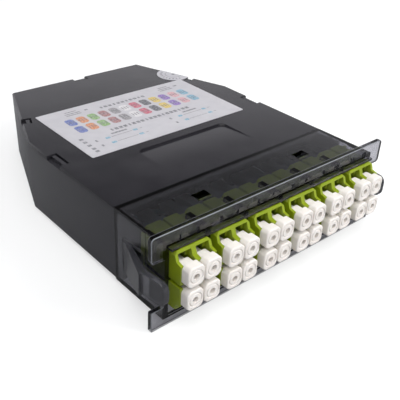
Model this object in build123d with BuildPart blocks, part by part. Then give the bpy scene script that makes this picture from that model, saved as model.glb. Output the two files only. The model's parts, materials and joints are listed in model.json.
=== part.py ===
# A fibre cassette: twelve duplex adapters in a flanged front frame, a tapered
# rear housing with a lid, and two multi-fibre adapters in its rear wall.
# Millimetres. X runs to the right seen from the front, Y to the rear, Z up.
# The origin is the centre of the bounding box's underside.
from build123d import *
from math import atan2, cos, degrees, radians, sin, sqrt, tan
import os

os.makedirs("parts", exist_ok=True)

# Duplex adapters and their ports
adapter_count = 6
adapter_pitch = 14.9
adapter_width = 12.9
adapter_height = 9.6
port_pitch = 6.25
row_pitch = 8.0
port_above_bottom = 3.45
port_width = 5.0
port_height = 5.3
latch_slot_width = 2.6
adapter_bar = 0.85
adapter_corner = 1.0
adapter_reach = 4.5
bar_reach = 1.6
leg_height = 6.3
leg_slope_height = 0.5
leg_step = 1.9
adapter_back = 12.3
adapter_wall_depth = 4.0
adapter_wall = 1.4
sleeve_radius = 1.3
collar_lap = 0.4
collar_depth = 1.2
top_groove_width = 1.1
top_groove_depth = 0.8
fit_gap = 0.05

# Dust caps of the duplex ports
cap_head_width = 5.9
cap_head_height = 6.6
cap_head_length = 2.85
cap_corner = 1.1
cap_face_edge = 0.35
cap_clearance = 0.15
cap_plug_length = 7.0
cap_hole_radius = 0.85
cap_hole_depth = 1.8
hole_sides = 8

# Plugs behind the adapters
plug_width = 4.5
plug_length = 13.0
boot_length = 8.0
boot_width = 3.2

# Front frame
wall = 1.4
side_gap = 0.5
housing_height = 25.7
front_drop = 1.0
row_mid_height = 13.4
seam_depth = 24.0
partition_front = 0.5
partition_depth = 9.6
web_thickness = 1.0
support_width = 1.2
roof_window_width = 5.3
roof_window_length = 3.3
roof_window_depth = 12.5
roof_window_adapters = 1.5
roof_window_shift = 1.5

# Flange with its four ears
ear_overhang = 4.5
flange_thickness = 1.7
flange_top = 29.4
flange_drop = 2.8
upper_ear_bottom = 20.9
lower_ear_top = 4.25
upper_ear_corner = 1.2
lower_ear_corner = 0.4
lip_reach = 1.2
lip_thickness = 0.8
lip_clearance = 0.1

# Rear housing and lid
housing_depth = 118.1
taper_depth = 75.4
rear_width = 60.2
shell = 1.6
edge_round = 0.5
spigot_length = 3.0
spigot_wall = 1.1
lid_lip_depth = 2.0
lid_lip_wall = 1.0
lid_clearance = 0.15
notch_length = 8.4
notch_inset = 3.6
notch_depth = 58.6
rear_notch_length = 6.0
taper_notch_length = 4.4
taper_notch_share = 0.38
hook_gap = 0.6
hook_wall = 1.3
hook_sunk = 0.3
hook_length_below = 4.0
recess_width = 39.0
recess_length = 16.5
recess_back = 48.8
recess_drop = 0.7
recess_corner = 2.5
lid_rib_radius = 42.0
lid_rib_centre_depth = 62.0
lid_rib_half_angle = 34.0
lid_rib_height = 1.6
lid_rib_wall = 1.2

# Label and seal on the lid
label_width = 68.6
label_length = 38.9
label_front = 52.8
label_corner = 0.6
label_thickness = 0.12
seal_radius = 7.0
seal_depth = 98.8
seal_inset = 1.6
seal_thickness = 0.12

# Side latches
latch_hinge_depth = 19.5
latch_catch_depth = 4.0
latch_catch_out = 5.8
latch_catch_step = 0.9
latch_tab_lean = 1.0
latch_tip_ahead = 4.8
latch_wall = 1.9
latch_top = 16.6
latch_root_bottom = 5.4
latch_catch_bottom = 8.6
latch_tab_bottom = 9.0
latch_tip_round = 2.4
latch_clearance = 0.3
latch_window_front = 10.6
hinge_clearance = 0.05

# Multi-fibre adapters in the rear wall
rear_adapter_spacing = 26.0
rear_adapter_height = 12.0
rear_adapter_width = 13.0
rear_adapter_tall = 9.4
rear_adapter_out = 7.6
rear_adapter_in = 10.0
rear_flange_width = 21.6
rear_flange_thickness = 1.5
rear_port_width = 9.8
rear_port_height = 6.6
key_width = 2.8
key_height = 0.8
rear_cap_head = 1.5
rear_cap_plug = 6.0
rear_cap_border = 1.0
rear_screw_pitch = 17.4
rear_screw_radius = 1.0
rear_screw_head_radius = 1.8
rear_screw_head = 1.1
rear_screw_length = 4.5
rear_plug_width = 12.0
rear_plug_tall = 7.6
rear_plug_length = 10.0
rear_plug_nose = 5.0
rear_boot_length = 12.0
rear_boot_radius = 2.2

# Fibres, fan-out blocks and their guides
trunk_radius = 1.0
trunk_straight = 6.0
loop_radius = 32.0
loop_corner_share = 1.06
loop_height = 3.5
loop_start_angle = -15
loop_turn = 40
loop_corners = 7
upper_loop_lift = 3.0
block_lead = 2.5
leg_radius = 0.45
cord_sides = 4
block_x = 22.0
block_depth = 52.0
block_length = 8.0
block_width = 9.0
block_tall = 5.0
block_height = 13.0
post_width = 4.0
leg_spacing = 1.3
leg_rows = 1.5
leg_straight = 4.0
guide_centre_depth = 62.0
guide_radius = 26.0
guide_wall = 1.2
guide_top = 8.5
guide_half_angle = 15.0

# Places worked out from the sizes above
rear_reach = housing_depth + rear_adapter_out + rear_cap_head
front_reach = adapter_reach + cap_head_length
flange_y = (front_reach - rear_reach) / 2
base_z = flange_drop
bay_half = (adapter_count - 1) * adapter_pitch / 2 + adapter_width / 2 + side_gap
body_half = bay_half + wall
flange_width = 2 * (body_half + ear_overhang)
latch_catch_reach = body_half + latch_catch_out
latch_tab_reach = latch_catch_reach - latch_catch_step
latch_tip_reach = latch_tab_reach - latch_tab_lean
rear_y = flange_y + housing_depth
taper_y = flange_y + taper_depth
roof_z = base_z + housing_height
lid_z = roof_z - shell
mid_z = base_z + row_mid_height
upper_z = mid_z + row_pitch / 2
lower_z = mid_z - row_pitch / 2
adapter_top = adapter_height - port_above_bottom
lip_bottom = upper_z + adapter_top + lip_clearance
frame_floor = base_z - front_drop + shell
roof_under = roof_z - shell
rear_plug_seat = housing_depth - shell - rear_adapter_in - fit_gap
adapter_xs = [(i - (adapter_count - 1) / 2) * adapter_pitch for i in range(adapter_count)]
port_xs = [x + side * port_pitch / 2 for x in adapter_xs for side in (-1, 1)]
taper_angle = atan2(body_half - rear_width / 2, housing_depth - taper_depth)


def section(depth):
    """A vertical plane across the cassette, seen from the front, at a depth behind the flange."""
    return Plane(origin=(0, flange_y + depth, 0), x_dir=(1, 0, 0), z_dir=(0, -1, 0))


def save(part, name):
    """Label a finished piece and write it as its own STEP file."""
    part.label = name
    export_step(part, f"parts/{name}.step")


def housing_sketch(height, inset, front_depth):
    """The rear housing's outline at a height, moved in by an inset, starting at a depth."""
    slope = (body_half - rear_width / 2) / (rear_y - taper_y)
    half = body_half - inset
    bend = taper_y - inset * (sqrt(1 + slope * slope) - 1) / slope
    back = rear_y - inset
    back_half = half - slope * (back - bend)
    front = flange_y + front_depth
    with BuildSketch(Plane.XY.offset(height)) as outline:
        with BuildLine():
            Polyline(
                (-half, front), (half, front), (half, bend), (back_half, back),
                (-back_half, back), (-half, bend), close=True,
            )
        make_face()
    return outline.sketch


def taper_point(inset):
    """The middle of the right taper's notch, moved in by an inset."""
    x = body_half - taper_notch_share * (body_half - rear_width / 2)
    y = taper_y + taper_notch_share * (rear_y - taper_y)
    return x - inset * cos(taper_angle), y - inset * sin(taper_angle)


def edge_pads(height, inset, depth, gap):
    """Rectangles along the housing's edge, at the lid's five notches, each shorter by two gaps."""
    side_x = body_half - inset - depth / 2
    taper_x, taper_notch_y = taper_point(inset + depth / 2)
    turn = degrees(taper_angle)
    with BuildSketch(Plane.XY.offset(height)) as pads:
        with Locations((side_x, flange_y + notch_depth), (-side_x, flange_y + notch_depth)):
            Rectangle(depth, notch_length - 2 * gap)
        with Locations((0, rear_y - inset - depth / 2)):
            Rectangle(rear_notch_length - 2 * gap, depth)
        with Locations(Location((taper_x, taper_notch_y, 0), (0, 0, turn))):
            Rectangle(depth, taper_notch_length - 2 * gap)
        with Locations(Location((-taper_x, taper_notch_y, 0), (0, 0, -turn))):
            Rectangle(depth, taper_notch_length - 2 * gap)
    return pads.sketch


def bay_sketch():
    """The full width of the adapters' bay between its floor and the roof."""
    with BuildSketch(section(0)) as bay:
        with Locations((0, (frame_floor + roof_under) / 2)):
            Rectangle(2 * bay_half, roof_under - frame_floor)
    return bay.sketch


def flange_sketch():
    """The upper and lower strips of the flange, whose ends are the four ears."""
    upper_height = flange_top - upper_ear_bottom
    lower_height = lower_ear_top + flange_drop
    with BuildSketch(section(0)) as strips:
        with Locations((0, base_z + upper_ear_bottom + upper_height / 2)):
            RectangleRounded(flange_width, upper_height, upper_ear_corner)
        with Locations((0, lower_height / 2)):
            RectangleRounded(flange_width, lower_height, lower_ear_corner)
    return strips.sketch


def partition_sketch():
    """Ribs between the adapters and at the sides, and the web between the two rows."""
    rib = adapter_pitch - adapter_width - 2 * fit_gap
    side_rib = side_gap - fit_gap
    height = roof_under - frame_floor
    centre = (roof_under + frame_floor) / 2
    rib_places = [(x - adapter_pitch / 2, centre) for x in adapter_xs[1:]]
    side_x = bay_half - side_rib / 2
    with BuildSketch(section(partition_front)) as ribs:
        with Locations(rib_places):
            Rectangle(rib, height)
        with Locations((side_x, centre), (-side_x, centre)):
            Rectangle(side_rib, height)
        with Locations((0, mid_z)):
            Rectangle(2 * bay_half, web_thickness)
    return ribs.sketch


def support_sketch():
    """Two ribs under each lower adapter."""
    top = lower_z - adapter_top - fit_gap
    places = [(x, (frame_floor + top) / 2) for x in port_xs]
    with BuildSketch(section(flange_thickness)) as supports:
        with Locations(places):
            Rectangle(support_width, top - frame_floor)
    return supports.sketch


def latch_window_sketch(height):
    """Openings in the side walls round the latch arms, each with a rounded rear end."""
    x = body_half - wall / 2
    middle = flange_y + (latch_window_front + latch_hinge_depth) / 2
    hinge_y = flange_y + latch_hinge_depth
    with BuildSketch(Plane.XY.offset(height)) as windows:
        with Locations((x, middle), (-x, middle)):
            Rectangle(2 * wall, latch_hinge_depth - latch_window_front)
        with Locations((x, hinge_y), (-x, hinge_y)):
            Circle(wall / 2 + hinge_clearance)
    return windows.sketch


def make_front_frame():
    """The front frame: a sleeve round the adapters, the flange, its ribs and its openings."""
    body_height = housing_height + front_drop
    latch_low = base_z + latch_root_bottom - latch_clearance
    latch_high = base_z + latch_top + latch_clearance
    roof_window_x = roof_window_adapters * adapter_pitch
    roof_window_y = flange_y + roof_window_depth + roof_window_length / 2
    with BuildPart() as frame:
        with BuildSketch(section(0)):
            with Locations((0, roof_z - body_height / 2)):
                RectangleRounded(2 * body_half, body_height, edge_round)
        extrude(amount=-seam_depth)
        extrude(flange_sketch(), amount=-flange_thickness)
        extrude(bay_sketch(), amount=-seam_depth, mode=Mode.SUBTRACT)
        with BuildSketch(section(flange_thickness)):
            with Locations((0, lip_bottom + lip_thickness / 2)):
                Rectangle(2 * bay_half, lip_thickness)
        extrude(amount=flange_thickness + lip_reach)
        extrude(partition_sketch(), amount=-(partition_depth - partition_front))
        extrude(support_sketch(), amount=-(partition_depth - flange_thickness))
        with BuildSketch(Plane.XY.offset(roof_z)):
            with Locations((roof_window_shift, roof_window_y)), GridLocations(2 * roof_window_x, 1, 2, 1):
                Rectangle(roof_window_width, roof_window_length)
        extrude(amount=-shell, mode=Mode.SUBTRACT)
        extrude(
            latch_window_sketch(latch_low),
            amount=latch_high - latch_low, mode=Mode.SUBTRACT,
        )
    return frame.part


def make_right_latch():
    """The right side latch: a sprung arm with a catch, and a finger tab ahead of it."""
    hinge_x = body_half - wall / 2
    hinge_y = flange_y + latch_hinge_depth
    catch_y = flange_y + latch_catch_depth
    tip_y = flange_y - latch_tip_ahead
    low = base_z + latch_root_bottom
    top = base_z + latch_top
    with BuildPart() as latch:
        with BuildSketch(Plane.XY.offset(low)):
            with BuildLine():
                Polyline(
                    (hinge_x - wall / 2, hinge_y), (hinge_x + wall / 2, hinge_y),
                    (latch_catch_reach, catch_y), (latch_tab_reach, catch_y),
                    (latch_tip_reach, tip_y), (latch_tip_reach - latch_wall, tip_y),
                    (latch_tab_reach - latch_wall, catch_y), close=True,
                )
            make_face()
            with Locations((hinge_x, hinge_y)):
                Circle(wall / 2)
        extrude(amount=top - low)
        with BuildSketch(Plane.YZ) as profile:
            with BuildLine():
                Polyline(
                    (hinge_y + wall, low), (hinge_y + wall, top), (tip_y, top),
                    (tip_y, base_z + latch_tab_bottom), (catch_y, base_z + latch_tab_bottom),
                    (catch_y, base_z + latch_catch_bottom), (hinge_y - wall, low), close=True,
                )
            make_face()
            fillet(profile.vertices().group_by(Axis.X)[0], latch_tip_round)
        extrude(amount=latch_catch_reach + wall, mode=Mode.INTERSECT)
    return latch.part


def port_sketch(depth):
    """Both ports of an adapter: the plug's opening and the slot above it for its latch."""
    slot_top = adapter_top - adapter_bar
    half_pitch = port_pitch / 2
    with BuildSketch(section(depth)) as ports:
        with Locations((half_pitch, 0), (-half_pitch, 0)):
            Rectangle(port_width, port_height)
        with Locations((half_pitch, slot_top / 2), (-half_pitch, slot_top / 2)):
            Rectangle(latch_slot_width, slot_top)
    return ports.sketch


def make_adapter():
    """One duplex adapter, latch slots up, about the point midway between its port axes."""
    bottom = -port_above_bottom
    front = flange_y - adapter_reach
    back = flange_y + adapter_back
    leg_z = bottom + leg_height
    wall_back = adapter_wall_depth + adapter_wall
    with BuildPart() as adapter:
        with BuildSketch(Plane.YZ.offset(-adapter_width / 2)):
            with BuildLine():
                Polyline(
                    (back, bottom), (back, adapter_top), (flange_y - bar_reach, adapter_top),
                    (front + leg_step, leg_z + leg_slope_height), (front, leg_z),
                    (front, bottom), close=True,
                )
            make_face()
        extrude(amount=adapter_width)
        chamfer(adapter.edges().filter_by(Axis.Y).group_by(Axis.Z)[-1], adapter_corner)
        with BuildSketch(section(partition_depth + fit_gap)):
            with Locations((0, (adapter_top + bottom) / 2)):
                Rectangle(adapter_width + 2 * collar_lap, adapter_height)
        extrude(amount=-collar_depth)
        front_port = port_sketch(-adapter_reach)
        extrude(front_port, amount=-(adapter_reach + adapter_wall_depth), mode=Mode.SUBTRACT)
        rear_port = port_sketch(wall_back)
        extrude(rear_port, amount=-(adapter_back - wall_back), mode=Mode.SUBTRACT)
        with BuildSketch(section(adapter_wall_depth)):
            with GridLocations(port_pitch, 1, 2, 1):
                RegularPolygon(sleeve_radius, hole_sides)
        extrude(amount=-adapter_wall, mode=Mode.SUBTRACT)
        with BuildSketch(section(0)):
            with Locations((0, adapter_top - top_groove_depth / 2)):
                Rectangle(top_groove_width, top_groove_depth)
        extrude(amount=-adapter_back, mode=Mode.SUBTRACT)
    return adapter.part


def make_dust_cap():
    """A dust cap about its port's axis: a chamfered head and the plug that fills the port."""
    with BuildPart() as cap:
        with BuildSketch(section(-adapter_reach)) as head:
            Rectangle(cap_head_width, cap_head_height)
            chamfer(head.vertices(), cap_corner)
        extrude(amount=cap_head_length)
        chamfer(cap.faces().sort_by(Axis.Y)[0].outer_wire().edges(), cap_face_edge)
        with BuildSketch(section(-adapter_reach)):
            Rectangle(port_width - 2 * cap_clearance, port_height - 2 * cap_clearance)
        extrude(amount=-cap_plug_length)
        with BuildSketch(section(-front_reach)):
            RegularPolygon(cap_hole_radius, hole_sides)
        extrude(amount=-cap_hole_depth, mode=Mode.SUBTRACT)
    return cap.part


def make_plug_row(axis_z):
    """The plugs that sit in the adapters' rear ends along one row, each with its boot."""
    start = adapter_wall_depth + adapter_wall + fit_gap
    with BuildPart() as plugs:
        with BuildSketch(section(start)):
            with Locations([(x, axis_z) for x in port_xs]):
                Rectangle(plug_width, plug_width)
        extrude(amount=-plug_length)
        with BuildSketch(section(start + plug_length)):
            with Locations([(x, axis_z) for x in port_xs]):
                Rectangle(boot_width, boot_width)
        extrude(amount=-boot_length)
    return plugs.part


def spigot_sketch():
    """The U-shaped lip at the tray's open front that slides into the front frame."""
    half = bay_half - fit_gap
    low = frame_floor + fit_gap
    high = lid_z - lid_lip_depth
    with BuildSketch(section(seam_depth - spigot_length)) as lip:
        with Locations((0, (low + high) / 2)):
            Rectangle(2 * half, high - low)
        with Locations((0, (low + spigot_wall + high) / 2)):
            Rectangle(2 * (half - spigot_wall), high - low - spigot_wall, mode=Mode.SUBTRACT)
    return lip.sketch


def rear_port_sketch():
    """The rear wall's openings and screw holes for the two multi-fibre adapters."""
    centre_z = base_z + rear_adapter_height
    half = rear_adapter_spacing / 2
    screw_places = [(x + s * rear_screw_pitch / 2, centre_z) for x in (-half, half) for s in (-1, 1)]
    with BuildSketch(section(housing_depth)) as ports:
        with Locations((half, centre_z), (-half, centre_z)):
            Rectangle(rear_adapter_width + 2 * fit_gap, rear_adapter_tall + 2 * fit_gap)
        with Locations(screw_places):
            Circle(rear_screw_radius)
    return ports.sketch


def guide_sketch(height):
    """Four arcs of one ring, which the fibre loops pass round."""
    half = radians(45 - guide_half_angle)
    reach = 2 * guide_radius
    with BuildSketch(Plane.XY.offset(height)) as guides:
        with Locations((0, flange_y + guide_centre_depth)):
            Circle(guide_radius + guide_wall / 2)
            Circle(guide_radius - guide_wall / 2, mode=Mode.SUBTRACT)
            with PolarLocations(0, 4):
                Polygon(
                    (0, 0), (reach * cos(half), -reach * sin(half)),
                    (reach * cos(half), reach * sin(half)), align=None, mode=Mode.SUBTRACT,
                )
    return guides.sketch


def post_sketch(height):
    """A square post under each fan-out block."""
    y = flange_y + block_depth + block_length / 2
    with BuildSketch(Plane.XY.offset(height)) as posts:
        with Locations((block_x, y), (-block_x, y)):
            Rectangle(post_width, post_width)
    return posts.sketch


def make_rear_base():
    """The open tray behind the seam, with its spigot, hooks, fibre guides and block posts."""
    floor_top = base_z + shell
    hook_low = lid_z - hook_length_below
    post_top = base_z + block_height - block_tall / 2
    with BuildPart() as base:
        extrude(housing_sketch(base_z, 0, seam_depth), amount=lid_z - base_z)
        cavity = housing_sketch(floor_top, shell, seam_depth)
        extrude(cavity, amount=lid_z - floor_top, mode=Mode.SUBTRACT)
        extrude(spigot_sketch(), amount=-(spigot_length + shell))
        extrude(rear_port_sketch(), amount=shell, mode=Mode.SUBTRACT)
        extrude(guide_sketch(floor_top), amount=base_z + guide_top - floor_top)
        extrude(post_sketch(floor_top), amount=post_top - floor_top)
        hooks = edge_pads(hook_low, shell, hook_wall, hook_gap)
        extrude(hooks, amount=roof_z - hook_sunk - hook_low)
    return base.part


def rim_sketch(height):
    """The lid's rim, just inside the tray's walls."""
    outer = shell + lid_clearance
    with BuildSketch(Plane.XY.offset(height)) as rim:
        add(housing_sketch(0, outer, seam_depth))
        add(housing_sketch(0, outer + lid_lip_wall, seam_depth - wall), mode=Mode.SUBTRACT)
    return rim.sketch


def lid_rib_sketch(height):
    """A curved rib under the lid that keeps the outer fibre loop down."""
    start = 90 - lid_rib_half_angle
    centre = (0, flange_y + lid_rib_centre_depth)
    with BuildSketch(Plane.XY.offset(height)) as rib:
        with BuildLine():
            outer = CenterArc(centre, lid_rib_radius, start, 2 * lid_rib_half_angle)
            inner = CenterArc(
                centre, lid_rib_radius - lid_rib_wall, start, 2 * lid_rib_half_angle
            )
            Line(outer @ 0, inner @ 0)
            Line(outer @ 1, inner @ 1)
        make_face()
    return rib.sketch


def make_recess():
    """The thumb recess's hollow: deep at its rounded rear wall, rising to the lid's top in front."""
    rear = flange_y + recess_back
    front = rear - recess_length
    floor = roof_z - recess_drop
    with BuildPart() as recess:
        with BuildSketch(Plane.YZ.offset(-recess_width / 2)):
            with BuildLine():
                Polyline((front, roof_z), (rear, roof_z), (rear, floor), close=True)
            make_face()
        extrude(amount=recess_width)
        fillet(recess.edges().filter_by(Axis.Z), recess_corner)
    return recess.part


def make_lid():
    """The lid: a plate with a rim inside the walls, notches, a thumb recess and a curved rib."""
    tongue_low = lid_z - lid_lip_depth + fit_gap
    tongue_half = body_half - shell - lid_clearance
    with BuildPart() as lid:
        extrude(housing_sketch(lid_z, 0, seam_depth), amount=shell)
        top_edges = lid.faces().sort_by(Axis.Z)[-1].outer_wire().edges()
        chamfer(top_edges.sort_by(Axis.Y)[1:], edge_round)
        extrude(rim_sketch(lid_z - lid_lip_depth), amount=lid_lip_depth)
        extrude(lid_rib_sketch(lid_z - lid_rib_height), amount=lid_rib_height)
        with BuildSketch(section(seam_depth - spigot_length)):
            with Locations((0, (tongue_low + lid_z - fit_gap) / 2)):
                Rectangle(2 * tongue_half, lid_z - fit_gap - tongue_low)
        extrude(amount=-(spigot_length + shell))
        notches = edge_pads(lid_z - hook_length_below, 0, notch_inset, 0)
        extrude(notches, amount=hook_length_below + shell, mode=Mode.SUBTRACT)
        add(make_recess(), mode=Mode.SUBTRACT)
    return lid.part


def make_label():
    """The paper label on the lid."""
    with BuildPart() as label:
        with BuildSketch(Plane.XY.offset(roof_z)):
            with Locations((0, flange_y + label_front + label_length / 2)):
                RectangleRounded(label_width, label_length, label_corner)
        extrude(amount=label_thickness)
    return label.part


def make_seal():
    """The round seal, folded over the right taper's edge from the lid onto the side wall."""
    share = (seal_depth - taper_depth) / (housing_depth - taper_depth)
    edge_x = body_half - share * (body_half - rear_width / 2)
    out = Vector(cos(taper_angle), sin(taper_angle), 0)
    on_edge = Vector(edge_x, flange_y + seal_depth, roof_z)
    run = 2 * seal_radius
    lid_plane = Plane(origin=on_edge, x_dir=out, z_dir=(0, 0, 1))
    wall_plane = Plane(origin=on_edge, x_dir=(0, 0, -1), z_dir=out)
    with BuildPart() as seal:
        with BuildSketch(lid_plane):
            with Locations((-seal_inset, 0)):
                Circle(seal_radius)
            with Locations((-run / 2 - edge_round, 0)):
                Rectangle(run, 2 * run, mode=Mode.INTERSECT)
        extrude(amount=seal_thickness)
        with BuildSketch(wall_plane):
            with Locations((-seal_inset, 0)):
                Circle(seal_radius)
            with Locations((run / 2 + edge_round, 0)):
                Rectangle(run, 2 * run, mode=Mode.INTERSECT)
        extrude(amount=seal_thickness)
        half_chord = sqrt(seal_radius ** 2 - seal_inset ** 2)
        side_plane = Plane(origin=on_edge, x_dir=out, z_dir=out.cross(Vector(0, 0, 1)))
        with BuildSketch(side_plane.offset(-half_chord)):
            with BuildLine():
                Polyline(
                    (-edge_round, 0), (0, -edge_round), (seal_thickness, -edge_round),
                    (seal_thickness, -edge_round + seal_thickness / 2),
                    (-edge_round + seal_thickness / 2, seal_thickness),
                    (-edge_round, seal_thickness), close=True,
                )
            make_face()
        extrude(amount=2 * half_chord)
    return seal.part


def rear_rectangle(depth, width, height):
    """A rectangle across a multi-fibre adapter's axis, at a depth."""
    with BuildSketch(section(depth)) as face:
        Rectangle(width, height)
    return face.sketch


def make_rear_adapter():
    """A multi-fibre adapter about its axis: a keyed tube with a flange outside the rear wall."""
    inner = housing_depth - shell - rear_adapter_in
    length = rear_adapter_in + shell + rear_adapter_out
    body = rear_rectangle(inner, rear_adapter_width, rear_adapter_tall)
    bore = rear_rectangle(inner, rear_port_width, rear_port_height)
    with BuildPart() as adapter:
        extrude(body, amount=-length)
        flange = rear_rectangle(housing_depth, rear_flange_width, rear_adapter_tall)
        extrude(flange, amount=-rear_flange_thickness)
        extrude(bore, amount=-length, mode=Mode.SUBTRACT)
        with BuildSketch(section(inner)):
            with Locations((0, rear_port_height / 2)):
                Rectangle(key_width, 2 * key_height)
        extrude(amount=-length, mode=Mode.SUBTRACT)
        with BuildSketch(section(housing_depth)):
            with GridLocations(rear_screw_pitch, 1, 2, 1):
                Circle(rear_screw_radius)
        extrude(amount=-rear_flange_thickness, mode=Mode.SUBTRACT)
    return adapter.part


def make_rear_cap():
    """The dust cap of a multi-fibre adapter, about its axis."""
    mouth = housing_depth + rear_adapter_out
    plug = (rear_port_width - 2 * cap_clearance, rear_port_height - 2 * cap_clearance)
    head = (rear_adapter_width - rear_cap_border, rear_adapter_tall - rear_cap_border)
    with BuildPart() as cap:
        extrude(rear_rectangle(mouth, *head), amount=-rear_cap_head)
        chamfer(cap.edges().filter_by(Axis.Y), cap_corner)
        extrude(rear_rectangle(mouth - rear_cap_plug, *plug), amount=-rear_cap_plug)
    return cap.part


def make_rear_screws():
    """The four screws that hold the multi-fibre adapters to the rear wall."""
    z = base_z + rear_adapter_height
    half = rear_adapter_spacing / 2
    places = [(x + s * rear_screw_pitch / 2, z) for x in (-half, half) for s in (-1, 1)]
    head_depth = housing_depth + rear_flange_thickness
    with BuildPart() as screws:
        with BuildSketch(section(head_depth)):
            with Locations(places):
                Circle(rear_screw_head_radius)
        extrude(amount=-rear_screw_head)
        with BuildSketch(section(head_depth)):
            with Locations(places):
                RegularPolygon(rear_screw_radius - fit_gap, hole_sides)
        extrude(amount=rear_screw_length)
    return screws.part


def make_rear_plug():
    """The plug inside the housing in a multi-fibre adapter, with its boot, about its axis."""
    nose = (rear_port_width - 4 * fit_gap, rear_port_height - 4 * fit_gap)
    boot_start = rear_plug_seat - rear_plug_length
    with BuildPart() as plug:
        body = rear_rectangle(rear_plug_seat, rear_plug_width, rear_plug_tall)
        extrude(body, amount=rear_plug_length)
        chamfer(plug.edges().filter_by(Axis.Y), cap_corner)
        extrude(rear_rectangle(rear_plug_seat, *nose), amount=-rear_plug_nose)
        with BuildSketch(section(boot_start)):
            RegularPolygon(rear_boot_radius, hole_sides)
        extrude(amount=rear_boot_length)
    return plug.part


def tube(points, radius, bend_share=0.45):
    """A bundle of fibres along straight runs joined by tangent arcs."""
    corners = [Vector(*point) for point in points]
    radii = []
    for before, corner, after in zip(corners, corners[1:], corners[2:]):
        turn = radians((corner - before).get_angle(after - corner))
        run = min((corner - before).length, (after - corner).length)
        radii.append(bend_share * run / tan(turn / 2))
    with BuildPart() as cord:
        with BuildLine() as path:
            FilletPolyline(*corners, radius=radii)
        with BuildSketch(Plane(origin=corners[0], z_dir=corners[1] - corners[0])):
            RegularPolygon(radius, cord_sides)
        sweep(path=path.line)
    print(f"tube of {len(points)} points, smallest bend {min(radii):.1f} mm")
    return cord.part


def loop_point(share, angle, height):
    """A point at a share of the fibre loop's radius and an angle round the guides' centre."""
    reach = share * loop_radius
    turned = radians(angle)
    return (reach * cos(turned), guide_centre_depth + reach * sin(turned), height)


def trunk_points(side, lift):
    """A bundle's route from a rear plug's boot, once round the guides, to its fan-out block."""
    boot_x = rear_adapter_spacing / 2
    boot_end = rear_plug_seat - rear_plug_length - rear_boot_length
    block_back = block_depth + block_length
    low = loop_height + lift
    fall = rear_adapter_height - low
    rise = block_height - low
    loop_angles = [loop_start_angle - i * loop_turn for i in range(loop_corners)]
    route = [
        (boot_x, boot_end, rear_adapter_height),
        (boot_x, boot_end - trunk_straight, rear_adapter_height),
        loop_point(0.56, 30, low + 0.75 * fall),
        loop_point(0.72, 5, low + 0.35 * fall),
        *[loop_point(loop_corner_share, angle, low) for angle in loop_angles],
        loop_point(0.98, 66, low + 0.02 * rise),
        loop_point(0.93, 46, low + 0.1 * rise),
        loop_point(0.9, 28, low + 0.5 * rise),
        loop_point(0.78, 14, low + 0.9 * rise),
        (block_x, block_back + block_lead, block_height),
        (block_x, block_back, block_height),
    ]
    return [(side * x, flange_y + y, base_z + z) for x, y, z in route]


def leg_ends(side):
    """The end of each fibre leg at the fan-out block and at its plug's boot."""
    boot_end = adapter_wall_depth + adapter_wall + fit_gap + plug_length + boot_length
    half_ports = [x for x in port_xs if x * side > 0]
    middle = (len(half_ports) - 1) / 2
    ends = []
    for row, port_z in ((1, upper_z), (-1, lower_z)):
        for i, port_x in enumerate(sorted(half_ports)):
            x = side * block_x + (i - middle) * leg_spacing
            z = base_z + block_height + row * leg_rows / 2
            ends.append(((x, block_depth, z), (port_x, boot_end, port_z)))
    return ends


def make_legs(side):
    """Twelve fibre legs from one fan-out block to the plugs of its half of the ports."""
    legs = []
    for (x, block_y, z), (port_x, boot_y, port_z) in leg_ends(side):
        route = [
            (x, flange_y + block_y, z),
            (x, flange_y + block_y - leg_straight, z),
            (port_x, flange_y + boot_y + leg_straight, port_z),
            (port_x, flange_y + boot_y, port_z),
        ]
        with BuildPart() as leg:
            with BuildLine() as path:
                Polyline(*route)
            with BuildSketch(Plane(origin=route[0], z_dir=(0, -1, 0))):
                RegularPolygon(leg_radius, cord_sides)
            sweep(path=path.line, transition=Transition.RIGHT)
        legs.append(leg.part)
    return Compound(children=legs)


def make_block():
    """A fan-out block, on the right side."""
    middle = flange_y + block_depth + block_length / 2
    low = base_z + block_height - block_tall / 2
    with BuildPart() as block:
        with BuildSketch(Plane.XY.offset(low)):
            with Locations((block_x, middle)):
                Rectangle(block_width, block_length)
        extrude(amount=block_tall)
        chamfer(block.edges().filter_by(Axis.Y), edge_round)
    return block.part


# Housing
save(make_front_frame(), "front_frame")
save(make_rear_base(), "rear_base")
save(make_lid(), "lid")
save(make_label(), "lid_label")
save(make_seal(), "seal_sticker")
right_latch = make_right_latch()
save(right_latch, "side_latch_right")
save(mirror(right_latch, about=Plane.YZ), "side_latch_left")

# Adapters, dust caps and plugs along the two rows, the lower row turned over
adapter = make_adapter()
dust_cap = make_dust_cap()
for row, row_z, turn in (("upper", upper_z, 0), ("lower", lower_z, 180)):
    for number, x in enumerate(adapter_xs, start=1):
        save(adapter.moved(Location((x, 0, row_z), (0, turn, 0))), f"lc_adapter_{row}_{number}")
    for number, x in enumerate(port_xs, start=1):
        save(dust_cap.moved(Location((x, 0, row_z))), f"dust_cap_{row}_{number}")
    save(make_plug_row(row_z), f"lc_plugs_{row}")

# Rear wall and fibres
rear_adapter = make_rear_adapter()
rear_cap = make_rear_cap()
rear_plug = make_rear_plug()
fan_block = make_block()
save(make_rear_screws(), "mpo_screws")
for name, side, lift in (("left", -1, upper_loop_lift), ("right", 1, 0.0)):
    axis = Location((side * rear_adapter_spacing / 2, 0, base_z + rear_adapter_height))
    save(rear_adapter.moved(axis), f"mpo_adapter_{name}")
    save(rear_cap.moved(axis), f"mpo_cap_{name}")
    save(rear_plug.moved(axis), f"mpo_plug_{name}")
    save(tube(trunk_points(side, lift), trunk_radius), f"fibre_trunk_{name}")
    save(make_legs(side), f"fibre_legs_{name}")
    block = fan_block if side > 0 else mirror(fan_block, about=Plane.YZ)
    save(block, f"fanout_block_{name}")
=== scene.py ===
import json
from math import pi, radians

import bpy
from mathutils import Matrix, Vector

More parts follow.
